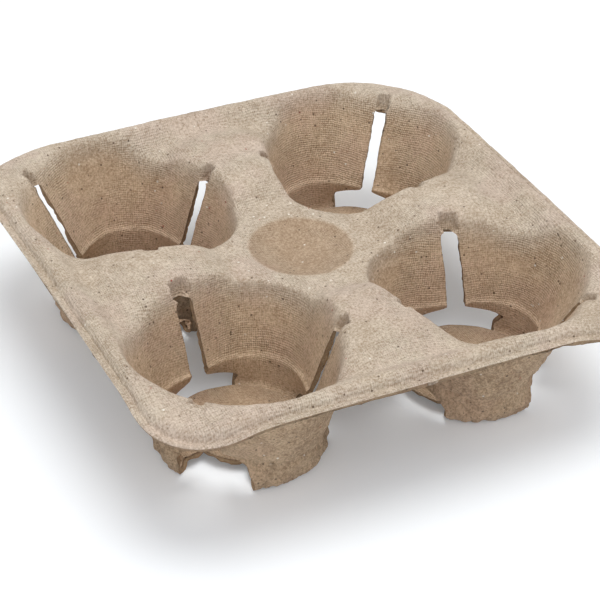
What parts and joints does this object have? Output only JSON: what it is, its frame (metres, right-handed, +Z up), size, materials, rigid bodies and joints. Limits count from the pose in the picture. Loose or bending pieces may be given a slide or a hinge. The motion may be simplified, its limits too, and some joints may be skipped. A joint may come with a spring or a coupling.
{
  "type": "moulded fibre cup carrier",
  "caption": "Square moulded-fibre cup carrier with round slit wells, domed bridges between them, a dished middle and a rolled rim.",
  "frame": {"origin": "middle of the carrier on the plane that its feet stand on", "axes": "+Z up out of the cup wells; +X and +Y along the straight rims, with one well in each quarter"},
  "size_m": [0.216, 0.216, 0.0555],
  "materials": {
    "moulded_fibre": "matt, felted and slightly rough"
  },
  "bodies": {
    "root": {"cup_carrier": "moulded_fibre"}
  },
  "joints": []
}
